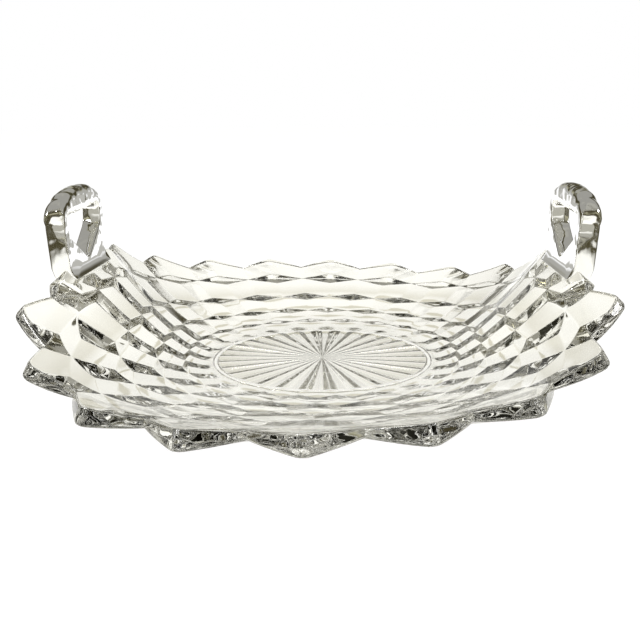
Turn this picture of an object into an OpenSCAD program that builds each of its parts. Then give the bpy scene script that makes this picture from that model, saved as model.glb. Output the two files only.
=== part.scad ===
// Two-handled serving tray of clear pressed glass. A star base stands on a foot ring, and a wall with
// block facets pressed into its underside flares out to a zigzag rim. The left and right sides of the
// wall are turned up, and each carries a loop handle.
// Millimetres, +Z up, standing on the table at Z = 0, with the handles on the X axis.

/* [Rim] */
// Distance from the centre to the rim tips at the front and the back
tip_r = 127; // [120:0.5:140]
// Distance from the centre to the line of the rim tips at the turned-up sides
side_r = 93.7; // [88:0.1:105]
// Distance from the centre to the rim notches at the front and the back
notch_r = 118.5; // [115:0.1:122]
// Width of the flat end of each rim tip
tip_flat = 2.5; // [1:0.1:6]
// Rise of the rim tips above the floor at the front and the back
end_rise = 16.2; // [12:0.1:22]
// Extra rise of the rim at the turned-up sides
side_rise = 33; // [26:0.1:38]
// Lift of two opposite corners and drop of the other two, left by hand finishing
corner_lift = 2.1; // [0:0.1:4]

/* [Glass] */
// Distance from the centre to the outermost row of facet corners at the front and the back
facet_r = 108.2; // [103:0.1:111]
// Thickness of the wall at the outermost row, midway between the ridges and the grooves of the facets
facet_wall = 4; // [3:0.1:5]
// Thickness of the wall at the foot ring, midway between the ridges and the grooves
foot_wall = 5; // [4:0.1:6.5]
// Thickness of the rim tips
tip_t = 6.4; // [5:0.1:7.5]
// Thickness that the rim tips thin down to towards the turned-up sides
side_tip_t = 3.6; // [3:0.1:6]
// Slant of the rim's edge: how far its lower corner stands out from square, per thickness of the rim
rim_slant = 0.12; // [0:0.01:0.25]
// Thickness of the rim at the notches
notch_t = 2.7; // [2:0.1:3.5]
// Height of the ridges over the middle, and depth of the grooves under it, at the outermost row
relief = 1.6; // [0.5:0.1:2]
// Height of the ledges between the blocks along the wall, at the outermost row of the front and the back
ledge_h = 12.5; // [8:0.1:13.5]
// Height of the same ledges at the turned-up sides
side_ledge_h = 5.5; // [3:0.1:9]
// Gap between the foot ring and the innermost row of facet corners
facet_gap = 3.8; // [2:0.1:6]

/* [Foot] */
// Outer radius of the foot ring
foot_r = 43.4; // [38:0.1:48]
// Width of the foot ring
foot_w = 2.5; // [2:0.1:4]
// Height of the foot ring below the wall
foot_h = 1; // [0.8:0.1:3]
// Width of the bevels on the foot ring's lower edges
foot_bevel = 0.5; // [0.2:0.1:0.8]
// Number of rays in the star
rays = 30; // [20:2:40]
// Depth of the grooves between the rays, at the foot ring
ray_depth = 1.5; // [0.5:0.1:2.5]
// Share of the star that the grooves take up, the flat rays taking the rest
groove_share = 0.62; // [0.3:0.01:0.9]
// Thickness of the base over the rays
base_t = 4.8; // [4:0.1:5.5]

/* [Handles] */
// Distance from the centre to the seat of a handle, where the wall ends and the handle starts
seat_r = 89; // [87:0.5:91]
// Height of a handle's seat above the table
seat_z = 41; // [39:0.5:44]
// Thickness of the glass at a handle's seat
seat_t = 5.8; // [5:0.1:7.5]
// Distance from the centre, along the facets, to the wall's shoulders beside a handle
cheek_r = 121; // [119:0.1:125]
// Thickness of the glass at those shoulders
cheek_t = 9; // [7:0.1:10]
// Distance of a handle's legs from the ends of its seat
leg_inset = 0.3; // [0.2:0.1:2]
// Length of a handle from its seat to its top, along the glass
handle_rise = 32.2; // [28:0.1:36]
// Thickness of a handle's bar
handle_t = 7.8; // [6.5:0.1:10]
// Thickness of a handle's legs, which stand back from the outer side of the bar
leg_t = 7.2; // [5:0.1:7.5]
// Height of the step from the legs' thickness out to the bar's, just below the bar
leg_step = 1.5; // [0.5:0.1:3]
// Width of a handle's legs below the bar
leg_w = 4; // [3.4:0.1:6]
// Width of a handle's bar at its middle
bar_w = 9.8; // [6:0.1:11]
// Drop of the bar's arched top from its middle to its ends
bar_drop = 3.8; // [0:0.1:5]
// Lift of the bar's back end and drop of its front end, left by hand finishing
bar_lift = 1.6; // [0:0.1:3]
// Inward lean of the bar's back end and outward lean of its front end, left by hand finishing
bar_lean = 1; // [0:0.1:2]
// Length over which the upper corners of a handle are rounded
shoulder = 9; // [3:0.5:11]
// Height of the opening's lowest point above the seat, along the glass
gap_base = 4.2; // [3.5:0.1:9]
// Height above the seat where the opening's slanting sides meet the legs
gap_side = 16; // [12:0.1:18]
// Length over which the corners of the opening are rounded
gap_round = 3.5; // [1:0.1:4]
// Rounding of the edges of a handle's bar
edge_r = 3.5; // [1.5:0.1:3.6]
// Rounding of the edges of a handle's legs and of the lower part of its opening
leg_edge_r = 0.8; // [0.3:0.1:1.8]
// Length over which a handle bends upright above its seat
bend_len = 4; // [3:0.5:9]
// Slope of the upper part of a handle, from the table
handle_slope = 87.5; // [78:0.5:92]

/* [Hidden] */
glass = [0.88, 0.91, 0.88, 0.5];

// Clearance where a flat-sided face lies against the round face of the foot ring
round_fit = 0.03;
floor_z = foot_h + foot_wall;
wall_start = foot_r + round_fit;
foot_in = foot_r - foot_w;

// Shape of the dish: how fast it steepens outwards, how narrowly the sides are turned up, and how much of
// the sides' inset is spread round the whole rim rather than kept near the handles
dish_power = 1.64;
turn_power = 4.3;
inset_spread = 0.365;
inset_power = 8;

function between(first, second, share) = first * (1 - share) + second * share;

// Upper face of the wall. A place on it is an angle round the tray, from +X, and a flat radius: the radius
// it has at the front and back, where the dish is not turned up.
function side_share(angle) = abs(cos(angle));
function rim_inset(share) = inset_spread * pow(share, 2) + (1 - inset_spread) * pow(share, inset_power);
function rim_radius(angle) = tip_r - (tip_r - side_r) * rim_inset(side_share(angle));
function rim_rise(angle) =
    end_rise + side_rise * pow(side_share(angle), turn_power) - corner_lift * sin(2 * angle);
function flare(flat_r) = max(flat_r - wall_start, 0) / (tip_r - wall_start);
function dish(angle, flat_r) = [
    wall_start + (rim_radius(angle) - wall_start) * flare(flat_r),
    floor_z + rim_rise(angle) * pow(flare(flat_r), dish_power)
];

// Seat of a handle, a straight edge across the wall, and how far out along the facets it lies
seat = [seat_r, seat_z];
seat_past = 8.4;
seat_flat_r = facet_r + seat_past;

// Columns round the wall. A half strip runs from a tip line to a notch line or back, and has three columns:
// its first line, then the corner of the tip's flat end and the middle, in the order that they come.
// A handle's seat takes the place of a tip and its two neighbours. Beside it the wall rises to a shoulder,
// and the next half strips lead down from the shoulders to notches.
columns_per_strip = 3;
tips = 24;
half_pitch = 180 / tips;
strips_per_side = tips;
seat_end = 2;
seat_start = strips_per_side - seat_end;
flat_share = atan(tip_flat / 2 / tip_r) / half_pitch;
seat_half_w = seat[0] * tan((seat_end - flat_share) * half_pitch);
middle_share = (1 + flat_share) / 2;
function strip(column) = floor(column / columns_per_strip);
function place(column) = column - columns_per_strip * strip(column);
function is_even(number) = number % 2 == 0;
function from_axis(column) = strip(column) - strips_per_side * floor(strip(column) / strips_per_side);
function on_seat(column) =
    from_axis(column) < seat_end || from_axis(column) > seat_start
    || (from_axis(column) == seat_start && place(column) > 0);
function by_seat(column) =
    !on_seat(column) && from_axis(column) >= seat_end
    && (from_axis(column) == seat_end || from_axis(column) >= seat_start - 1);
function to_notch(column) =
    let (shares = [0, flat_share, middle_share, 1])
    is_even(strip(column)) ? shares[place(column)] : shares[columns_per_strip - place(column)];
function column_angle(column) =
    half_pitch * (strip(column) + (is_even(strip(column)) ? to_notch(column) : 1 - to_notch(column)));
// How far a column is down from the flat end of its tip to the notch, and how much it is held to the seat
function past_flat(column) = max(to_notch(column) - flat_share, 0) / (1 - flat_share);
function seat_hold(column) = on_seat(column) ? 1 : by_seat(column) ? 1 - to_notch(column) : 0;
function rim_flat_r(column) =
    on_seat(column) ? seat_flat_r
    : by_seat(column) ? between(cheek_r, notch_r, to_notch(column))
    : between(tip_r, notch_r, past_flat(column));

// Upper face in the plane of a column, as [radius, height]: the dish, eased onto the handle's seat
seat_ease = 4;
function seat_shift(column) =
    [seat[0] / abs(cos(column_angle(column))), seat[1]] - dish(column_angle(column), seat_flat_r);
function upper(column, flat_r) =
    dish(column_angle(column), flat_r) + (seat_hold(column) > 0
        ? seat_shift(column) * seat_hold(column)
            * pow(max(flat_r - wall_start, 0) / (seat_flat_r - wall_start), seat_ease)
        : [0, 0]);
function upper_run(column, flat_r) = upper(column, flat_r + slope_step) - upper(column, flat_r - slope_step);
slope_step = 0.01;
seat_run = upper_run(0, seat_flat_r);
seat_slope = atan2(seat_run[1], seat_run[0]);
seat_outer = seat + seat_t * [sin(seat_slope), -cos(seat_slope)];

// Facets of the underside. Each row has a ledge per tip, and the rows are staggered by half a tip. A corner
// is its flat radius and its height over the middle of the relief.
rows = 4;
row_ratio = pow(facet_r / (foot_r + facet_gap), 1 / rows);
function row_r(row) = facet_r / pow(row_ratio, row);
function row_relief(row) = relief * row_r(row) / facet_r;
function ledge_share(column) =
    between(ledge_h, side_ledge_h, pow(side_share(column_angle(column)), 2)) / 2 / facet_r;
function ledge_outer(row, column) = [row_r(row) * (1 + ledge_share(column)), row_relief(row)];
function ledge_inner(row, column) = [row_r(row) * (1 - ledge_share(column)), -row_relief(row)];
function ledge_end(row) = [row_r(row), 0];
function ledge(row, column) = [ledge_outer(row, column), ledge_inner(row, column)];
function ledge_ends(row) = [ledge_end(row), ledge_end(row)];
function tip_line(column) = [
    for (row = [0:rows - 1]) each is_even(row) ? ledge(row, column) : ledge_ends(row),
    ledge_outer(rows, column), [wall_start, 0]];
function notch_line(column) = [
    for (row = [0:rows - 1]) each is_even(row) ? ledge_ends(row) : ledge(row, column),
    ledge_end(rows), [wall_start, 0]];
function thickness(flat_r) =
    between(facet_wall, foot_wall, max(facet_r - flat_r, 0) / (facet_r - wall_start));
function rim_t(column) =
    on_seat(column) ? seat_t
    : by_seat(column) ? between(cheek_t, notch_t, to_notch(column))
    : between(between(tip_t, side_tip_t, pow(side_share(column_angle(column)), 2)), notch_t,
        past_flat(column));
function corners(column) = let (at_tip = tip_line(column), at_notch = notch_line(column)) concat(
    [[rim_flat_r(column) + rim_slant * rim_t(column), rim_t(column) - facet_wall]],
    [for (i = [0:len(at_tip) - 1]) between(at_tip[i], at_notch[i], to_notch(column))]);
// The blocks' long faces follow the bend of the wall in two steps
function lower_rows(column) =
    let (list = corners(column), last = len(list) - 1)
    [for (i = [0:last]) each is_even(i) && i < last ? [list[i], (list[i] + list[i + 1]) / 2] : [list[i]]];
function lower(column, corner) =
    let (run = upper_run(column, corner[0]))
    upper(column, corner[0]) + (thickness(corner[0]) + corner[1]) * [run[1], -run[0]] / norm(run);
function seat_edge(column) = [seat_outer[0] / abs(cos(column_angle(column))), seat_outer[1]];

// A sector of the wall between two columns, as one closed surface
upper_rows = 10;
function placed(column, point) =
    [point[0] * cos(column_angle(column)), point[0] * sin(column_angle(column)), point[1]];
function upper_points(column) = [for (i = [0:upper_rows])
    placed(column, upper(column, between(rim_flat_r(column), wall_start, i / upper_rows)))];
function lower_points(column) = let (list = lower_rows(column)) [for (i = [0:len(list) - 1])
    placed(column, i == 0 && on_seat(column) ? seat_edge(column) : lower(column, list[i]))];
// Where two corners of a column are one point, the first of them stands for both
function merged(list, i) = i > 0 && list[i] == list[i - 1] ? merged(list, i - 1) : i;
function distinct(face) = face[0] != face[1] && face[1] != face[2] && face[2] != face[0];

module wall_sector(first, last) {
    count = last - first;
    low = len(lower_rows(first));
    high = upper_rows + 1;
    same = [for (column = [first:last]) let (list = lower_rows(column))
        [for (i = [0:low - 1]) merged(list, i)]];
    function under(step, i) = step * low + same[step][i];
    function over(step, i) = (count + 1) * low + step * high + i;
    function edge(step) = concat(
        [for (i = [0:high - 1]) over(step, i)],
        [for (i = [low - 1:-1:0]) if (same[step][i] == i) under(step, i)]);
    function backwards(list) = [for (i = [len(list) - 1:-1:0]) list[i]];
    faces = [for (step = [0:count - 1]) each concat(
        [for (i = [0:high - 2]) each [
            [over(step, i), over(step + 1, i + 1), over(step + 1, i)],
            [over(step, i), over(step, i + 1), over(step + 1, i + 1)]]],
        [for (i = [0:low - 2]) each [
            [under(step, i), under(step + 1, i), under(step + 1, i + 1)],
            [under(step, i), under(step + 1, i + 1), under(step, i + 1)]]],
        [[over(step, 0), over(step + 1, 0), under(step + 1, 0)],
         [over(step, 0), under(step + 1, 0), under(step, 0)],
         [over(step, high - 1), under(step + 1, low - 1), over(step + 1, high - 1)],
         [over(step, high - 1), under(step, low - 1), under(step + 1, low - 1)]])];
    polyhedron(
        points = concat(
            [for (column = [first:last]) each lower_points(column)],
            [for (column = [first:last]) each upper_points(column)]),
        faces = concat([for (face = faces) if (distinct(face)) face], [edge(count)], [backwards(edge(0))]));
}

// The turned-up side on +X takes one tip on each side of the seat, and the back takes the rest
side_columns = 5 * columns_per_strip;
side_to_side = strips_per_side * columns_per_strip;
module side_wall() {
    wall_sector(-side_columns, side_columns);
}
module end_wall() {
    wall_sector(side_columns, side_to_side - side_columns);
}

// A handle is a ring round its opening. It lies in a sheet that goes on from the wall's upper face, and a
// place on the sheet is its distance across from the middle and its height along the sheet.
leg_edge = seat_half_w - leg_inset;
gap_w = leg_edge - leg_w;
gap_top = handle_rise - bar_w;
bend_r = bend_len / ((handle_slope - seat_slope) * PI / 180);
function sheet_slope(s) = between(seat_slope, handle_slope, min(s / bend_len, 1));
function sheet(s) =
    let (slope = sheet_slope(s), straight = max(s - bend_len, 0))
    seat + bend_r * [sin(slope) - sin(seat_slope), cos(seat_slope) - cos(slope)]
        + straight * [cos(slope), sin(slope)];
// From its seat up the handle goes from the seat's thickness to its legs', and then to its bar's
function handle_thickness(height) =
    height < bend_len ? between(seat_t, leg_t, height / bend_len)
    : between(leg_t, handle_t, min(max((height - gap_top) / leg_step + 1, 0), 1));
function handle_point(place, depth) =
    let (skew = place[0] / leg_edge * place[1] / handle_rise,
         s = place[1] + bar_lift * skew,
         slope = sheet_slope(s),
         out = depth * handle_thickness(place[1]) / handle_t,
         point = sheet(s) + out * [sin(slope), -cos(slope)])
    [point[0] - bar_lean * skew, place[0], point[1]];
function towards(from, to, reach) = from + (to - from) / norm(to - from) * reach;
function softened(before, corner, after, reach, share) =
    between(between(towards(corner, before, reach), corner, share),
        between(corner, towards(corner, after, reach), share), share);
function arch(y) = [y, handle_rise - bar_drop * pow(y / leg_edge, 2)];

// Stations round one half of the ring, from the middle of the seat to the middle of the bar: the place on
// the opening's edge, the place on the outer edge, and the rounding of the outer edge and of the opening's
round_steps = 3;
half_arc = 2;
arc_steps = 4;
bar_steps = 3;
sharp_edge = 0.05;
edge_share = 0.45;
gap_low = [0, gap_base];
gap_corner = [gap_w, gap_side];
gap_upper = [gap_w, gap_top];
shoulder_corner = arch(leg_edge);
half_ring = concat(
    [for (i = [0:half_arc])
        [softened([-gap_w, gap_side], gap_low, gap_corner, gap_round, (1 + i / half_arc) / 2),
            [leg_edge * i / (half_arc + 1), 0], sharp_edge, leg_edge_r]],
    [for (i = [0:arc_steps])
        [softened(gap_low, gap_corner, gap_upper, gap_round, i / arc_steps),
            [leg_edge, gap_side * i / arc_steps], i == 0 ? sharp_edge : leg_edge_r, leg_edge_r]],
    [for (i = [0:arc_steps]) let (corner_r = between(leg_edge_r, edge_r, i / arc_steps))
        [softened(gap_corner, gap_upper, [0, gap_top], min(gap_round, gap_top - gap_side - gap_round),
                i / arc_steps),
            softened([leg_edge, 0], shoulder_corner, arch(0), shoulder, i / arc_steps),
            corner_r, corner_r]],
    [for (i = [1:bar_steps])
        [[(gap_w - gap_round) * (1 - i / bar_steps), gap_top],
            arch((leg_edge - shoulder) * (1 - i / bar_steps)), edge_r, edge_r]]);
function flipped(station) =
    [[-station[0][0], station[0][1]], [-station[1][0], station[1][1]], station[2], station[3]];
ring = concat(half_ring, [for (i = [len(half_ring) - 2:-1:1]) flipped(half_ring[i])]);

// Section of the ring at a station, from its outer edge to the opening
function corner_arc(across, depth, radius, start) = [for (i = [0:round_steps - 1])
    let (turn = start - 90 * i / (round_steps - 1))
    [across + radius * cos(turn), depth + radius * sin(turn)]];
function section(width, outer_r, gap_r) = concat(
    corner_arc(outer_r, handle_t - outer_r, outer_r, 180), [[width / 2, handle_t]],
    corner_arc(width - gap_r, handle_t - gap_r, gap_r, 90),
    corner_arc(width - gap_r, gap_r, gap_r, 0), [[width / 2, 0]],
    corner_arc(outer_r, outer_r, outer_r, -90));
function ring_points(station) =
    let (width = norm(station[0] - station[1]), limit = edge_share * min(width, handle_t))
    [for (point = section(width, min(station[2], limit), min(station[3], limit)))
        handle_point(towards(station[1], station[0], point[0]), point[1])];
module loop_handle() {
    sides = 4 * round_steps + 2;
    count = len(ring);
    function at(step, side) = (step % count) * sides + side % sides;
    polyhedron(
        points = [for (station = ring) each ring_points(station)],
        faces = [for (step = [0:count - 1]) for (side = [0:sides - 1]) each [
            [at(step, side), at(step + 1, side), at(step + 1, side + 1)],
            [at(step, side), at(step + 1, side + 1), at(step, side + 1)]]]);
}

// Floor inside the foot ring, with V grooves between the flat rays of the star on its underside. A ray has
// three lines: the bottom of a groove and its own two edges.
module star_base() {
    ray_lines = 3;
    lines = ray_lines * rays;
    ray_z = floor_z - base_t;
    line_at = [0, groove_share / 2, 1 - groove_share / 2];
    function line_angle(line) = (floor(line / ray_lines) + line_at[line % ray_lines]) * 360 / rays;
    function at_line(line, z) = [foot_in * cos(line_angle(line)), foot_in * sin(line_angle(line)), z];
    function top(line) = line % lines;
    function under(line) = lines + line % lines;
    color(glass) polyhedron(
        points = concat(
            [for (line = [0:lines - 1]) at_line(line, floor_z)],
            [for (line = [0:lines - 1]) at_line(line, ray_z + (line % ray_lines == 0 ? ray_depth : 0))],
            [[0, 0, ray_z]]),
        faces = concat(
            [[for (line = [lines - 1:-1:0]) top(line)]],
            [for (line = [0:lines - 1]) each [
                [2 * lines, under(line), under(line + 1)],
                [top(line), top(line + 1), under(line + 1)],
                [top(line), under(line + 1), under(line)]]]));
}

module foot_ring() {
    color(glass) rotate_extrude($fn = 144) polygon([
        [foot_in, foot_bevel], [foot_in + foot_bevel, 0], [foot_r - foot_bevel, 0], [foot_r, foot_bevel],
        [foot_r, floor_z], [foot_in, floor_z]]);
}

module back_wall() {
    color(glass) end_wall();
}

module front_wall() {
    color(glass) rotate(180) end_wall();
}

module right_wall() {
    color(glass) side_wall();
}

module left_wall() {
    color(glass) rotate(180) side_wall();
}

module right_handle() {
    color(glass) loop_handle();
}

module left_handle() {
    color(glass) mirror([1, 0, 0]) loop_handle();
}

star_base();
foot_ring();
front_wall();
back_wall();
left_wall();
right_wall();
left_handle();
right_handle();
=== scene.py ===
"""Looks of the two-handled pressed-glass tray: one unbroken glass surface from the CAD model's sizes."""
import math

import bpy
import numpy as np
from mathutils import Matrix


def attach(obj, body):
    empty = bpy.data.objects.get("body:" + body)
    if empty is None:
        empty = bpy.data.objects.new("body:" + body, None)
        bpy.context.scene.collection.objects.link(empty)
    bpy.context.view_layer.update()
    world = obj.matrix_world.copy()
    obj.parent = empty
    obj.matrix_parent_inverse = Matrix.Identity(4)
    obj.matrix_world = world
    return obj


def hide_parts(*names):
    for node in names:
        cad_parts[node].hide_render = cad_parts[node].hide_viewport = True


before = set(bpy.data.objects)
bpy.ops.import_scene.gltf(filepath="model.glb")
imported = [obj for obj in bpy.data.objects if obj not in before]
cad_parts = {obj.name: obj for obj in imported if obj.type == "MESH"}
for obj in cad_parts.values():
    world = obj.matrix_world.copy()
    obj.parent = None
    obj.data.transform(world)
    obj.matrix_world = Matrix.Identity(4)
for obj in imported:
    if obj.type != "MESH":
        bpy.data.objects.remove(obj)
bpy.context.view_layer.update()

MM = 0.001
EPS = 1e-6

# Sizes of the CAD model, in millimetres and degrees
TIP_R, SIDE_R, NOTCH_R, FACET_R, TIP_FLAT = 127.0, 93.7, 118.5, 108.2, 2.5
END_RISE, SIDE_RISE, CORNER_LIFT = 16.2, 33.0, 2.1
FACET_WALL, FOOT_WALL, TIP_T, SIDE_TIP_T, NOTCH_T = 4.0, 5.0, 6.4, 3.6, 2.7
RIM_SLANT, RELIEF, LEDGE_H, SIDE_LEDGE_H, FACET_GAP = 0.12, 1.6, 12.5, 5.5, 3.8
FOOT_R, FOOT_W, FOOT_H, FOOT_BEVEL = 43.4, 2.5, 1.0, 0.5
RAYS, RAY_DEPTH, GROOVE_SHARE, BASE_T = 30, 1.5, 0.62, 4.8
SEAT, SEAT_T, SEAT_PAST = np.array([89.0, 41.0]), 5.8, 8.4
CHEEK_R, CHEEK_T, LEG_INSET = 121.0, 9.0, 0.3
HANDLE_RISE, HANDLE_T, LEG_W, BAR_W, BAR_DROP, SHOULDER = 32.2, 7.8, 4.0, 9.8, 3.8, 9.0
LEG_T, LEG_STEP, LEG_EDGE = 7.2, 1.5, 0.8
BAR_LIFT, BAR_LEAN = 1.6, 1.0
GAP_BASE, GAP_SIDE, GAP_ROUND, HANDLE_EDGE, EDGE_SHARE = 4.2, 16.0, 3.5, 3.5, 0.45
BEND_LEN, HANDLE_SLOPE = 4.0, 87.5
DISH_POWER, TURN_POWER, INSET_SPREAD, INSET_POWER, SEAT_EASE = 1.64, 4.3, 0.365, 8, 4
TIPS, ROWS = 24, 4
WALL_START = FOOT_R + 0.03
FLOOR_Z = FOOT_H + FOOT_WALL
FOOT_IN = FOOT_R - FOOT_W
HALF_PITCH = 180 / TIPS
SEAT_FLAT_R = FACET_R + SEAT_PAST
SEAT_END = 2  # half strips from the middle of a handle to the end of its seat
SEAT_COS_LEAST = 0.5
FLAT_SHARE = math.degrees(math.atan(TIP_FLAT / 2 / TIP_R)) / HALF_PITCH
SEAT_HALF_W = SEAT[0] * math.tan(math.radians((SEAT_END - FLAT_SHARE) * HALF_PITCH))
ROW_RATIO = (FACET_R / (FOOT_R + FACET_GAP)) ** (1 / ROWS)

# Softening of the edges by fire polishing
RIM_ROUND, FACET_ROUND, LINE_ROUND, FOOT_SOFT = 0.9, 0.55, 0.5, 0.15
TIP_SOFT, GROOVE_SOFT = 0.02, 0.12
CORNER_REACH = 0.45  # most of an edge that the rounding of one corner may take
SHARP_ANGLE = 50

# Rows and columns of the tray's mesh
STRIP_PARTS = (0, 0.02, 0.05, 0.1, 0.18, 0.3, 0.5, 0.7, 0.82, 0.9, 0.95, 0.98)
UPPER_STEPS, RIM_STEPS, BLOCK_STEPS, LEDGE_STEPS, FOOT_STEPS, ROUND_STEPS = 20, 3, 5, 2, 4, 4
GROOVE_HALF = (0.5, 1, 1.7, 2.5, 3.2, 3.7, 4.2, 4.7)  # degrees to each side of a groove
GROOVE_PARTS = [-p for p in GROOVE_HALF] + [0] + list(GROOVE_HALF) + [180 / RAYS]
FLOOR_RING, FLOOR_STEP = 36.0, 6.0
FOOT_TOP = FLOOR_Z - FOOT_WALL + 0.35
STAR_RADII = (FOOT_IN, FOOT_IN - 0.4, 36, 28, 20, 13, 8, 4, 2, 0.8)

# Stations round a handle. Its foot sinks into the wall, with sharp edges and a little narrower than the seat
FOOT_STATIONS, LEG_STATIONS, CORNER_STATIONS, BAR_STATIONS = 6, 12, 12, 8
SUNK, SUNK_EDGE, SUNK_SHARE, SUNK_INSET = -0.7, 0.05, 0.97, 0.5


def between(first, second, share):
    return first * (1 - share) + second * share


def dish(angle, flat_r):
    """Radius and height of the upper face, before it is eased onto the handles' seats."""
    side = np.abs(np.cos(angle))
    inset = INSET_SPREAD * side**2 + (1 - INSET_SPREAD) * side**INSET_POWER
    radius = TIP_R - (TIP_R - SIDE_R) * inset
    rise = END_RISE + SIDE_RISE * side**TURN_POWER - CORNER_LIFT * np.sin(2 * angle)
    share = np.maximum(flat_r - WALL_START, 0) / (TIP_R - WALL_START)
    return WALL_START + (radius - WALL_START) * share, FLOOR_Z + rise * share**DISH_POWER


def unit(vectors):
    return vectors / np.linalg.norm(vectors, axis=-1, keepdims=True)


class Columns:
    """Columns round the tray.

    Each has its angle, its share of the way from a tip to a notch, and its hold on a handle's seat.
    """

    def __init__(self, degrees):
        self.angle = np.radians(degrees)
        strip = np.floor(degrees / HALF_PITCH + EPS)
        part = degrees / HALF_PITCH - strip
        self.to_notch = np.where(strip % 2 == 0, part, 1 - part)
        # Half strips from the middle of the nearest handle, and the hold of its seat on the wall
        self.from_handle = np.abs(np.mod(degrees + 90, 180) - 90) / HALF_PITCH
        self.hold = np.clip(SEAT_END + 1 - self.from_handle, 0, 1)

    def share(self, flat_r):
        """Share of the way from the tip line to the notch line, softened at both lines."""
        soft = LINE_ROUND / (flat_r * math.radians(HALF_PITCH))
        near = np.sqrt(self.to_notch**2 + soft**2) - self.to_notch
        far = np.sqrt((1 - self.to_notch) ** 2 + soft**2) - (1 - self.to_notch)
        return self.to_notch + near - far

    def rim(self):
        """Flat radius and thickness of the rim."""
        past = self.to_notch - FLAT_SHARE
        past = (past + np.sqrt(past**2 + TIP_SOFT**2)) / 2 / (1 - FLAT_SHARE)
        past = np.minimum(past, 1)
        tip_t = between(TIP_T, SIDE_TIP_T, np.cos(self.angle) ** 2)
        flat_r, thick = between(TIP_R, NOTCH_R, past), between(tip_t, NOTCH_T, past)
        by_seat = self.from_handle < SEAT_END + 1
        down = self.from_handle - SEAT_END
        flat_r = np.where(by_seat, between(CHEEK_R, NOTCH_R, down), flat_r)
        thick = np.where(by_seat, between(CHEEK_T, NOTCH_T, np.maximum(down, 0)), thick)
        step = np.clip((SEAT_END - self.from_handle) / FLAT_SHARE, 0, 1)
        return (np.where(step > 0, between(CHEEK_R, SEAT_FLAT_R, step), flat_r),
                np.where(step > 0, between(CHEEK_T, SEAT_T, step), thick))

    def upper(self, flat_r, turn=0.0):
        """Points of the upper face. turn moves the columns round the tray."""
        angle = self.angle + turn
        r, z = dish(angle, flat_r)
        seat_r, seat_z = dish(angle, SEAT_FLAT_R)
        share = np.maximum(flat_r - WALL_START, 0) / (SEAT_FLAT_R - WALL_START)
        ease = self.hold * share**SEAT_EASE
        r = r + ease * (SEAT[0] / np.maximum(np.abs(np.cos(angle)), SEAT_COS_LEAST) - seat_r)
        z = z + ease * (SEAT[1] - seat_z)
        return np.stack([r * np.cos(angle), r * np.sin(angle), z], -1)

    def normal(self, flat_r):
        """Normal of the upper face, pointing out through the underside."""
        step, turn = 0.02, 0.0005
        out = self.upper(flat_r + step) - self.upper(flat_r - step)
        around = self.upper(flat_r, turn) - self.upper(flat_r, -turn)
        n = unit(np.cross(around, out))
        # At the rim the glass is measured in the upright plane through the tray's middle, and at a
        # seat across it
        to_rim = np.clip((flat_r - FACET_R) / SEAT_PAST, 0, 1)[:, None]
        run = np.hypot(out[:, 0], out[:, 1])
        cos, sin = np.cos(self.angle), np.sin(self.angle)
        upright = unit(np.stack([out[:, 2] * cos, out[:, 2] * sin, -run], -1))
        level = np.zeros(len(self.angle))
        seat = np.stack([math.sin(SEAT_SLOPE) * np.sign(cos), level, level - math.cos(SEAT_SLOPE)], -1)
        hold = self.hold[:, None]
        return unit(n * (1 - to_rim) + (upright * (1 - hold) + seat * hold) * to_rim)

    def place(self, flat_r, depth):
        return self.upper(flat_r) + depth[:, None] * self.normal(flat_r)


def seat_slope():
    column, step = Columns(np.array([0.0])), 0.01
    run = column.upper(np.array([SEAT_FLAT_R])) - column.upper(np.array([SEAT_FLAT_R - step]))
    return math.atan2(run[0, 2], run[0, 0])


SEAT_SLOPE = seat_slope()


def thickness(flat_r):
    return between(FACET_WALL, FOOT_WALL, np.maximum(FACET_R - flat_r, 0) / (FACET_R - WALL_START))


def ledge_half(angle):
    """Half of a ledge's height on the wall, as a share of its radius."""
    return between(LEDGE_H, SIDE_LEDGE_H, np.cos(angle) ** 2) / 2 / FACET_R


def facet_lines(angle):
    """Corners of the facets on a tip line and on a notch line, from the rim inwards: flat radius, height."""
    half = ledge_half(angle)
    tip, notch = [], []
    for row in range(ROWS + 1):
        r, up = FACET_R / ROW_RATIO**row, RELIEF / ROW_RATIO**row
        ledge, ends = [(r * (1 + half), up), (r * (1 - half), -up)], [(r, 0.0), (r, 0.0)]
        tip += ledge if row % 2 == 0 else ends
        notch += ends if row % 2 == 0 else ledge
    tip[-1], notch[-1] = (WALL_START, 0.0), (WALL_START, 0.0)
    return tip, notch


def rounded(points, sizes, steps, between_steps):
    """Rows of points along a line of corners, each given per column, with its corners rounded."""
    def short_of(corner, other, size):
        reach = np.linalg.norm(other - corner, axis=-1, keepdims=True)
        return corner + (other - corner) * np.minimum(size / np.maximum(reach, EPS), CORNER_REACH)

    rows = []
    last = len(points) - 1
    for i, (corner, size) in enumerate(zip(points, sizes)):
        if i in (0, last):
            rows.append(corner)
            start = corner
        else:
            first, start = (short_of(corner, points[j], size) for j in (i - 1, i + 1))
            for k in range(steps + 1):
                t = k / steps
                rows.append(first * (1 - t) ** 2 + corner * 2 * t * (1 - t) + start * t**2)
        if i < last:
            end = points[i + 1]
            if i + 1 < last:
                end = short_of(end, corner, sizes[i + 1])
            for k in range(1, between_steps[i] + 1):
                rows.append(between(start, end, k / (between_steps[i] + 1)))
    return rows


def strip_columns():
    return np.array([HALF_PITCH * (strip + p) for strip in range(2 * TIPS) for p in STRIP_PARTS])


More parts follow.
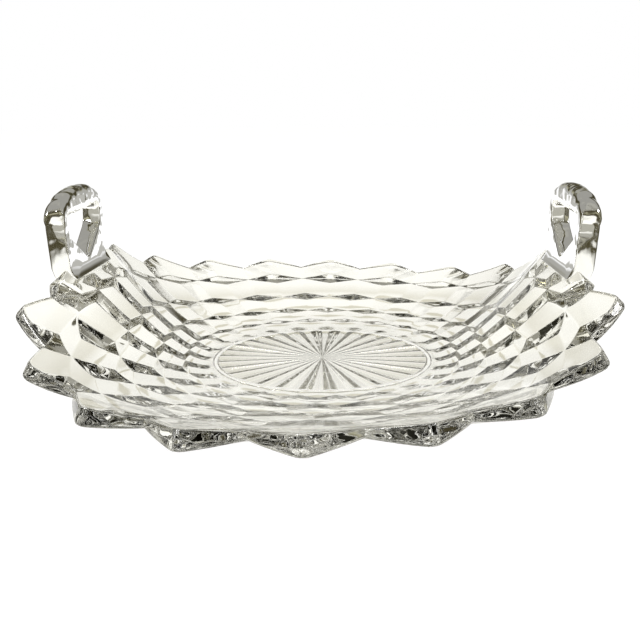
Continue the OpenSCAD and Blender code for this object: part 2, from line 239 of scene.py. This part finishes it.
def wall_rows(columns):
    """Rows of points from the floor over the upper face, round the rim and back under the wall."""
    rim_r, rim_t = columns.rim()
    tip, notch = facet_lines(columns.angle)
    level = np.zeros(len(columns.angle))
    slant = RIM_SLANT * rim_t * (columns.from_handle >= SEAT_END)
    corners = [np.stack([level + WALL_START, level], -1), np.stack([rim_r, level], -1),
               np.stack([rim_r + slant, rim_t], -1)]
    for (tip_r, tip_h), (notch_r, notch_h) in zip(tip, notch):
        share = columns.share((tip_r + notch_r) / 2)
        flat_r = between(tip_r, notch_r, share)
        corners.append(np.stack([flat_r, thickness(flat_r) + between(tip_h, notch_h, share)], -1))
    sizes = [0, RIM_ROUND, RIM_ROUND] + [FACET_ROUND] * len(tip)
    inner = [UPPER_STEPS, RIM_STEPS] + [BLOCK_STEPS, LEDGE_STEPS] * (len(tip) // 2)
    inner[-1] = FOOT_STEPS
    rows = rounded(corners, sizes, ROUND_STEPS, inner)
    return [columns.place(row[:, 0], row[:, 1]) for row in rows]


class Surface:
    """Points and faces of a surface, built loop by loop."""

    def __init__(self):
        self.points, self.faces = [], []

    def loop(self, points):
        first = len(self.points)
        self.points += [tuple(p) for p in points]
        return list(range(first, len(self.points)))

    def join(self, a, b):
        n = len(a)
        for i in range(n):
            j = (i + 1) % n
            self.faces.append((a[i], a[j], b[j], b[i]))

    def stitch(self, a, angle_a, b, angle_b):
        """Triangles between two loops of different counts, both in order of angle from 0."""
        def next_angle(loop, angles, i):
            if i + 1 < len(loop):
                return angles[i + 1]
            return 2 * math.pi if i < len(loop) else math.inf

        i = j = 0
        while i < len(a) or j < len(b):
            if next_angle(a, angle_a, i) <= next_angle(b, angle_b, j):
                self.faces.append((a[i % len(a)], a[(i + 1) % len(a)], b[j % len(b)]))
                i += 1
            else:
                self.faces.append((a[i % len(a)], b[(j + 1) % len(b)], b[j % len(b)]))
                j += 1

    def cap(self, a, point, flip=False):
        top = self.loop([point])[0]
        n = len(a)
        for i in range(n):
            j = (i + 1) % n
            self.faces.append((a[j], a[i], top) if flip else (a[i], a[j], top))

    def object(self, name):
        mesh = bpy.data.meshes.new(name)
        mesh.from_pydata([tuple(MM * v for v in p) for p in self.points], [], self.faces)
        mesh.update()
        obj = bpy.data.objects.new(name, mesh)
        bpy.context.scene.collection.objects.link(obj)
        return obj


def ring_points(angles, radius, heights):
    return np.stack([radius * np.cos(angles), radius * np.sin(angles), heights + 0 * angles], -1)


def to_groove_edge(angles):
    """0 in the middle of a groove of the star and 1 at the edge of a ray."""
    turn = angles / (2 * math.pi) * RAYS
    return np.abs(np.mod(turn + 0.5, 1) - 0.5) / (GROOVE_SHARE / 2)


def make_tray():
    surface = Surface()
    columns = Columns(strip_columns())
    angles = columns.angle
    star = [360 / RAYS * ray + p for ray in range(RAYS) for p in GROOVE_PARTS]
    star = np.radians(np.sort(np.mod(star, 360)))
    # The wall, and the floor inside it
    rows = [surface.loop(row) for row in wall_rows(columns)]
    plain = np.radians(np.arange(0, 360, FLOOR_STEP))
    inner = surface.loop(ring_points(plain, FLOOR_RING, FLOOR_Z))
    surface.cap(inner[::-1], (0, 0, FLOOR_Z), flip=True)
    surface.stitch(rows[0], angles, inner, plain)
    for a, b in zip(rows[1:], rows):
        surface.join(a, b)
    last = rows[-1]

    def add_rings(rings, around):
        nonlocal last
        for r, heights in rings:
            loop = surface.loop(ring_points(around, r, heights))
            surface.join(loop, last)
            last = loop

    # The foot ring, and the star inside it
    half_soft = FOOT_SOFT / 2
    add_rings([(FOOT_R, FOOT_TOP), (FOOT_R, FOOT_BEVEL + FOOT_SOFT), (FOOT_R - half_soft, FOOT_BEVEL),
               (FOOT_R - FOOT_BEVEL, half_soft), (FOOT_R - FOOT_BEVEL - FOOT_SOFT, 0)], angles)
    loop = surface.loop(ring_points(star, FOOT_IN + FOOT_BEVEL + FOOT_SOFT, 0))
    surface.stitch(loop, star, last, angles)
    last = loop
    add_rings([(FOOT_IN + FOOT_BEVEL, half_soft), (FOOT_IN + half_soft, FOOT_BEVEL),
               (FOOT_IN, FOOT_BEVEL + FOOT_SOFT)], star)
    ray_z = FLOOR_Z - BASE_T
    groove = 1 - np.sqrt(to_groove_edge(star) ** 2 + GROOVE_SOFT**2)
    groove = (groove + np.sqrt(groove**2 + GROOVE_SOFT**2)) / 2
    add_rings([(r, ray_z + RAY_DEPTH * groove * r / FOOT_IN) for r in STAR_RADII], star)
    surface.cap(last[::-1], (0, 0, ray_z))
    return surface.object("tray_glass")


def sheet(s):
    """Place and slope of a handle's inner face, at a length s up from its seat."""
    top_slope = math.radians(HANDLE_SLOPE)
    slope = between(SEAT_SLOPE, top_slope, min(max(s / BEND_LEN, 0), 1))
    bend_r = BEND_LEN / (top_slope - SEAT_SLOPE)
    bend = np.array([math.sin(slope) - math.sin(SEAT_SLOPE), math.cos(SEAT_SLOPE) - math.cos(slope)])
    run = np.array([math.cos(slope), math.sin(slope)])
    return SEAT + bend_r * bend + (max(s - BEND_LEN, 0) + min(s, 0)) * run, slope


def handle_thickness(height):
    """The handle goes from the seat's thickness to its legs', and then to its bar's."""
    if height < BEND_LEN:
        return between(SEAT_T, LEG_T, max(height, 0) / BEND_LEN)
    up = (height - (HANDLE_RISE - BAR_W)) / LEG_STEP + 1
    return between(LEG_T, HANDLE_T, min(max(up, 0), 1))


def handle_point(place, depth):
    across, up = place
    skew = across / (SEAT_HALF_W - LEG_INSET) * up / HANDLE_RISE
    point, slope = sheet(up + BAR_LIFT * skew)
    depth *= handle_thickness(up) / HANDLE_T
    x = point[0] + depth * math.sin(slope) - BAR_LEAN * skew
    return x, across, point[1] - depth * math.cos(slope)


def towards(start, end, reach):
    return start + (end - start) / np.linalg.norm(end - start) * reach


def softened(before, corner, after, reach, share):
    first, last = towards(corner, before, reach), towards(corner, after, reach)
    return between(between(first, corner, share), between(corner, last, share), share)


def half_ring():
    """Stations from the middle of the seat to the middle of the bar.

    Each is its place on the opening's edge and on the outer edge, and the rounding of the outer edge and
    of the opening's.
    """
    leg_edge = SEAT_HALF_W - LEG_INSET
    gap_w, gap_top = leg_edge - LEG_W, HANDLE_RISE - BAR_W
    low, side = np.array([0, GAP_BASE]), np.array([gap_w, GAP_SIDE])
    upper, top = np.array([gap_w, gap_top]), np.array([0, gap_top])
    upper_round = min(GAP_ROUND, gap_top - GAP_SIDE - GAP_ROUND)

    def arch(y):
        return np.array([y, HANDLE_RISE - BAR_DROP * (y / leg_edge) ** 2])

    def shares(steps, first=0):
        return [i / steps for i in range(first, steps + 1)]

    stations = []
    for t in shares(FOOT_STATIONS):
        gap = softened(side * (-1, 1), low, side, GAP_ROUND, (1 + t) / 2)
        stations.append((gap, np.array([leg_edge * t * SUNK_SHARE, SUNK]), SUNK_EDGE, LEG_EDGE))
    for t in shares(LEG_STATIONS):
        gap = softened(low, side, upper, GAP_ROUND, t)
        if t == 0:
            stations.append((gap, np.array([leg_edge - SUNK_INSET, SUNK]), SUNK_EDGE, LEG_EDGE))
        else:
            stations.append((gap, np.array([leg_edge, GAP_SIDE * t]), LEG_EDGE, LEG_EDGE))
    for t in shares(CORNER_STATIONS):
        gap = softened(side, upper, top, upper_round, t)
        edge = softened(np.array([leg_edge, 0]), arch(leg_edge), arch(0), SHOULDER, t)
        edge_r = between(LEG_EDGE, HANDLE_EDGE, t)
        stations.append((gap, edge, edge_r, edge_r))
    for t in shares(BAR_STATIONS, 1):
        gap = np.array([(gap_w - GAP_ROUND) * (1 - t), gap_top])
        stations.append((gap, arch((leg_edge - SHOULDER) * (1 - t)), HANDLE_EDGE, HANDLE_EDGE))
    return stations


def section(width, outer_r, gap_r, steps=6, middle=5):
    """Section of a handle from its outer edge to its opening: place across, depth."""
    def arc(across, depth, radius, start):
        turns = [math.radians(start - 90 * i / (steps - 1)) for i in range(steps)]
        return [(across + radius * math.cos(t), depth + radius * math.sin(t)) for t in turns]

    def face(start, end, depth):
        return [(between(start, end, i / (middle + 1)), depth) for i in range(1, middle + 1)]

    return (arc(outer_r, HANDLE_T - outer_r, outer_r, 180) + face(outer_r, width - gap_r, HANDLE_T)
            + arc(width - gap_r, HANDLE_T - gap_r, gap_r, 90) + arc(width - gap_r, gap_r, gap_r, 0)
            + face(width - gap_r, outer_r, 0) + arc(outer_r, outer_r, outer_r, -90))


def make_handle(name, side):
    surface = Surface()
    half = half_ring()
    flip = np.array([-1, 1])
    ring = half + [(gap * flip, edge * flip, outer_r, gap_r) for gap, edge, outer_r, gap_r in half[-2:0:-1]]
    loops = []
    for gap, edge, outer_r, gap_r in ring:
        width = float(np.linalg.norm(gap - edge))
        limit = EDGE_SHARE * min(width, HANDLE_T)
        points = [handle_point(towards(edge, gap, across), depth)
                  for across, depth in section(width, min(outer_r, limit), min(gap_r, limit))]
        loops.append(surface.loop([(side * p[0], p[1], p[2]) for p in points[::side]]))
    for a, b in zip(loops, loops[1:] + loops[:1]):
        surface.join(a, b)
    return surface.object(name)


class Tree:
    """Short forms for building a node tree. Most add one node and return its output."""

    def __init__(self, owner):
        owner.use_nodes = True
        self.nodes, self.links = owner.node_tree.nodes, owner.node_tree.links

    def add(self, kind, **settings):
        node = self.nodes.new("ShaderNode" + kind)
        for name, value in settings.items():
            setattr(node, name, value)
        return node

    def feed(self, socket, value):
        """Links an output to a socket, or sets the socket to a plain value."""
        if isinstance(value, bpy.types.NodeSocket):
            self.links.new(value, socket)
        else:
            socket.default_value = value

    def math(self, operation, *values, clamp=False):
        node = self.add("Math", operation=operation, use_clamp=clamp)
        for socket, value in zip(node.inputs, values):
            self.feed(socket, value)
        return node.outputs[0]

    def vector_math(self, operation, *values):
        node = self.add("VectorMath", operation=operation)
        for socket, value in zip(node.inputs, values):
            self.feed(socket, value)
        return node.outputs

    def axes(self, vector):
        node = self.add("SeparateXYZ")
        self.feed(node.inputs[0], vector)
        return node.outputs

    def ramp(self, value, start, end):
        node = self.add("MapRange", interpolation_type="SMOOTHSTEP")
        self.feed(node.inputs["Value"], value)
        self.feed(node.inputs["From Min"], start)
        self.feed(node.inputs["From Max"], end)
        return node.outputs["Result"]

    def mix(self, factor, first, second):
        """Mixes two colours."""
        node = self.add("Mix", data_type="RGBA")
        factor_in, first_in, second_in = node.inputs[0], node.inputs[6], node.inputs[7]
        self.feed(factor_in, factor)
        self.feed(first_in, first)
        self.feed(second_in, second)
        return node.outputs[2]

    def noise(self, vector, scale, detail):
        node = self.add("TexNoise")
        self.feed(node.inputs["Vector"], vector)
        self.feed(node.inputs["Scale"], scale)
        self.feed(node.inputs["Detail"], detail)
        return node.outputs["Fac"]

    def bump(self, height, strength, *normal):
        node = self.add("Bump")
        self.feed(node.inputs["Height"], height)
        self.feed(node.inputs["Strength"], strength)
        self.feed(node.inputs["Distance"], MM)
        for before in normal:
            self.feed(node.inputs["Normal"], before)
        return node.outputs["Normal"]

    def ray(self, kind):
        return self.add("LightPath").outputs[kind]


# The glass, and its waviness: scale and detail of the noise, and strength of the bump
GLASS_COLOUR, GLASS_IOR = (0.99, 0.98, 0.912, 1), 1.51
WAVE_NOISE, WAVE_STRENGTH = (90.0, 0.5), 0.06
RIPPLE_NOISE, RIPPLE_STRENGTH, RIPPLE_STRETCH = (60.0, 0.0), 0.3, (1.0, 0.2, 1.0)
DENT_NOISE, DENT_STRENGTH, NOISE_MEAN = (170.0, 1.0), 1.0, 0.5
STEEP_RANGE, HANDLE_RANGE = (0.6, 0.25), (0.046, 0.054)


def glass_material():
    mat = bpy.data.materials.new("clear_pressed_glass")
    tree = Tree(mat)
    shader = tree.nodes["Principled BSDF"]
    shader.inputs["Base Color"].default_value = GLASS_COLOUR
    shader.inputs["Transmission Weight"].default_value = 1.0
    shader.inputs["IOR"].default_value = GLASS_IOR
    shader.inputs["Roughness"].default_value = 0.0
    place = tree.add("TexCoord").outputs["Object"]
    wave = tree.bump(tree.noise(place, *WAVE_NOISE), WAVE_STRENGTH)
    # Steep faces, such as the rim's edges, which the flame smoothed over, are wavier
    stretch = tree.add("Mapping")
    tree.feed(stretch.inputs["Vector"], place)
    tree.feed(stretch.inputs["Scale"], RIPPLE_STRETCH)
    upward = tree.axes(tree.add("NewGeometry").outputs["True Normal"])["Z"]
    steep = tree.ramp(tree.math("ABSOLUTE", upward), *STEEP_RANGE)
    ripple = tree.math("MULTIPLY", tree.noise(stretch.outputs["Vector"], *RIPPLE_NOISE), steep)
    wavy = tree.bump(ripple, RIPPLE_STRENGTH, wave)
    # The handles, which were shaped by hand, are dented
    dents = tree.math("SUBTRACT", tree.noise(place, *DENT_NOISE), NOISE_MEAN)
    on_handle = tree.ramp(tree.axes(place)["Z"], *HANDLE_RANGE)
    dented = tree.bump(tree.math("MULTIPLY", dents, on_handle), DENT_STRENGTH, wavy)
    tree.feed(shader.inputs["Normal"], dented)
    return mat


def unite(body, *others):
    for other in others:
        join = body.modifiers.new("join_" + other.name, "BOOLEAN")
        join.operation, join.solver, join.object = "UNION", "MANIFOLD", other
    whole = body.evaluated_get(bpy.context.evaluated_depsgraph_get())
    mesh = bpy.data.meshes.new_from_object(whole)
    body.modifiers.clear()
    old, body.data = body.data, mesh
    mesh.name = body.name
    for spare in [old] + [other.data for other in others]:
        bpy.data.meshes.remove(spare)


tray = make_tray()
unite(tray, make_handle("handle_a", 1), make_handle("handle_b", -1))
tray.data.shade_smooth()
tray.data.set_sharp_from_angle(angle=math.radians(SHARP_ANGLE))
tray.data.materials.clear()
tray.data.materials.append(glass_material())
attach(tray, "root")
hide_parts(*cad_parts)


def matrix(x, y, z, place):
    """Matrix of an object from its axes and its place."""
    return Matrix([[x[i], y[i], z[i], place[i]] for i in range(3)] + [[0, 0, 0, 1]])


# The camera fitted to the photo, in millimetres, pixels and degrees
CAMERA_TARGET, CAMERA_DISTANCE = np.array([-0.836, 0, 20.04]), 341.06
CAMERA_ELEVATION, CAMERA_YAW, CAMERA_ROLL = 13.788, 2.3676, -0.4086
FOCAL_PX, FRAME_PX, SENSOR_W = 869.17, 640, 36.0
CLIP_NEAR, CLIP_FAR = 0.01, 20  # metres


def make_camera():
    elevation, yaw, roll = (math.radians(v) for v in (CAMERA_ELEVATION, CAMERA_YAW, CAMERA_ROLL))
    flat = np.array([math.sin(yaw), -math.cos(yaw), 0])
    back = flat * math.cos(elevation) + np.array([0, 0, math.sin(elevation)])
    right = np.array([math.cos(yaw), math.sin(yaw), 0])
    up = np.cross(back, right)
    right, up = (math.cos(roll) * right + math.sin(roll) * up,
                 math.cos(roll) * up - math.sin(roll) * right)
    data = bpy.data.cameras.new("camera")
    data.sensor_width, data.lens = SENSOR_W, FOCAL_PX * SENSOR_W / FRAME_PX
    data.clip_start, data.clip_end = CLIP_NEAR, CLIP_FAR
    camera = bpy.data.objects.new("camera", data)
    camera.matrix_world = matrix(right, up, back, (CAMERA_TARGET + CAMERA_DISTANCE * back) * MM)
    bpy.context.scene.collection.objects.link(camera)
    bpy.context.scene.camera = camera


make_camera()

# Colours of the room. It is dark with lighter patches, and grey behind the white table and overhead
WHITE, FLOOR_GREY = (1, 1, 1, 1), (0.9, 0.9, 0.9, 1)
DARK_ROOM, GREY_ROOM, SLATE = (0.058, 0.051, 0.028, 1), (0.44, 0.425, 0.31, 1), (0.4, 0.395, 0.365, 1)
PATCH_NOISE, PATCH_RANGE = (2.6, 1.5), (0.48, 0.68)
# Which way the parts of the room lie: ranges of Y, to the back, and Z, upwards
BACKDROP_Y, BACKDROP_Z = (0.9, 0.97), (0.08, 0.0)
SLATE_Y, SLATE_Z = (0.8, 0.88), (0.3, 0.15)
CEILING_Y, CEILING_Z, CEILING_GREY = (-0.4, -0.1), (0.45, 0.6), 0.8
# The white table: its middle and its reach in metres, and the strip that runs on behind the tray
TABLE_MIDDLE, TABLE_EDGE, TABLE_BACK_Y = (0.0, 0.2, 0.0), (0.34, 0.26), (0.984, 0.998)
# Painted shades on the table, where the facets, the rim and the star would cast shade
TABLE_SHADE, SHADE_RANGE, STAR_SHADE, RIM_SHADE = (0.68, 0.66, 0.58, 1), (0.0, 0.7), 0.45, 0.4
LEAST_LEDGE = 1e-4
# Columns in half a strip of the floor's mesh, and its rings, in millimetres
FLOOR_PARTS, LEDGE_RINGS = 8, 90
STAR_RINGS, OUTER_RINGS = (2.0, 10.0, 20.0, 30.0, FOOT_IN), (140.0, 200.0, 400.0, 1000.0, 4000.0)
# How much of the table's white is its own glow, to the camera and through glass. The rest is lit, so that
# the table keeps a faint shadow
FLOOR_GLOW, CAMERA_GLOW, GLASS_GLOW = 1.2, 0.8, 1.0
LAMP_SIZE, LAMP_POWER = 0.35, 6
BOUNCES, GLOSSY_BOUNCES = 24, 12


def ledge_shade(columns, flat_r):
    """Painted shade of the ledges and the rim on the table below them: 1 under the middle of a ledge."""
    rim = RIM_SHADE * max(flat_r - FACET_R, 0) / (NOTCH_R - FACET_R)
    shade = np.full(len(columns.angle), rim)
    for row in range(ROWS + 1):
        wide = ledge_half(columns.angle) * (1 - columns.to_notch if row % 2 == 0 else columns.to_notch)
        off = np.abs(flat_r * ROW_RATIO**row / FACET_R - 1)
        shade = np.maximum(shade, 1 - off / np.maximum(wide, LEAST_LEDGE))
    return shade


def star_shade(angles, radius):
    """Painted shade of the star's grooves on the table below them."""
    return STAR_SHADE * np.maximum(1 - to_groove_edge(angles), 0) * radius / FOOT_IN


def floor_material():
    mat = bpy.data.materials.new("white_floor")
    tree = Tree(mat)
    lit = tree.nodes["Principled BSDF"]
    lit.inputs["Base Color"].default_value = FLOOR_GREY
    lit.inputs["Roughness"].default_value = 1.0
    place = tree.add("TexCoord").outputs["Object"]
    camera = tree.ray("Is Camera Ray")
    # The white table ends beside the tray and runs on behind it
    far = tree.vector_math("DISTANCE", place, TABLE_MIDDLE)["Value"]
    behind = tree.axes(tree.vector_math("NORMALIZE", place)["Vector"])["Y"]
    white = tree.math("MAXIMUM", tree.ramp(far, *TABLE_EDGE), tree.ramp(behind, *TABLE_BACK_Y))
    ground = tree.mix(tree.ramp(behind, *SLATE_Y), DARK_ROOM, SLATE)
    # Through the glass it shows the painted shades of the facets and of the star
    shade = tree.ramp(tree.add("Attribute", attribute_name="shade").outputs["Fac"], *SHADE_RANGE)
    table = tree.mix(tree.math("SUBTRACT", shade, camera, clamp=True), WHITE, TABLE_SHADE)
    glow = tree.add("Emission")
    tree.feed(glow.inputs["Color"], tree.mix(tree.math("MAXIMUM", white, camera), ground, table))
    tree.feed(glow.inputs["Strength"], FLOOR_GLOW)
    # The glow is for rays from the camera and for rays that glass bends or mirrors
    seen = tree.math("MAXIMUM", camera, tree.ray("Is Glossy Ray"))
    seen = tree.math("MAXIMUM", seen, tree.ray("Is Transmission Ray"))
    share = tree.math("MULTIPLY_ADD", camera, CAMERA_GLOW - GLASS_GLOW, GLASS_GLOW)
    both = tree.add("MixShader")
    tree.feed(both.inputs[0], tree.math("MULTIPLY", seen, share))
    tree.feed(both.inputs[1], lit.outputs[0])
    tree.feed(both.inputs[2], glow.outputs[0])
    tree.feed(tree.nodes["Material Output"].inputs["Surface"], both.outputs[0])
    return mat


def make_floor():
    surface = Surface()
    columns = Columns(np.arange(0, 360, HALF_PITCH / FLOOR_PARTS))
    angles = columns.angle
    rings = [(ring_points(angles, r, 0), star_shade(angles, r)) for r in STAR_RINGS]
    for r in np.linspace(WALL_START, NOTCH_R, LEDGE_RINGS):
        below = columns.upper(np.full(len(angles), r)) * (1, 1, 0)
        rings.append((below, ledge_shade(columns, r)))
    rings += [(ring_points(angles, r, 0), 0 * angles) for r in OUTER_RINGS]
    loops = [surface.loop(points) for points, _ in rings]
    for a, b in zip(loops, loops[1:]):
        surface.join(a, b)
    surface.cap(loops[0], (0, 0, 0), flip=True)
    floor = surface.object("floor")
    # The floor's points carry the painted shades of the star, the ledges and the rim in its shade attribute
    shades = np.concatenate([shade for _, shade in rings] + [[0]])
    floor.data.attributes.new("shade", "FLOAT", "POINT").data.foreach_set("value", shades)
    floor.data.materials.append(floor_material())


def make_world():
    world = bpy.data.worlds.new("studio")
    bpy.context.scene.world = world
    tree = Tree(world)
    way = tree.add("TexCoord").outputs["Generated"]
    axes = tree.axes(way)

    def zone(y_range, z_range):
        return tree.math("MULTIPLY", tree.ramp(axes["Y"], *y_range), tree.ramp(axes["Z"], *z_range))

    patches = tree.ramp(tree.noise(way, *PATCH_NOISE), *PATCH_RANGE)
    room = tree.mix(patches, DARK_ROOM, GREY_ROOM)
    grey = tree.math("MULTIPLY_ADD", zone(CEILING_Y, CEILING_Z), CEILING_GREY, zone(SLATE_Y, SLATE_Z))
    room = tree.mix(grey, room, SLATE)
    # The backdrop is white, and so is all of the room to rays straight from the camera
    white = tree.math("MAXIMUM", zone(BACKDROP_Y, BACKDROP_Z), tree.ray("Is Camera Ray"))
    tree.feed(tree.nodes["Background"].inputs["Color"], tree.mix(white, room, WHITE))


def make_light(name, where):
    """A lamp that faces the tray's middle."""
    data = bpy.data.lights.new(name, "AREA")
    data.size, data.energy = LAMP_SIZE, LAMP_POWER
    light = bpy.data.objects.new(name, data)
    z = unit(np.array(where))
    x = unit(np.cross((0, 0, 1), z))
    light.matrix_world = matrix(x, np.cross(z, x), z, where)
    bpy.context.scene.collection.objects.link(light)


make_floor()
make_world()
make_light("lamp_left", (-0.9, -0.5, 1.1))
make_light("lamp_right", (0.9, -0.4, 1.2))

scene = bpy.context.scene
scene.view_settings.view_transform = "Standard"
scene.cycles.max_bounces = BOUNCES
scene.cycles.transmission_bounces = BOUNCES
scene.cycles.glossy_bounces = GLOSSY_BOUNCES
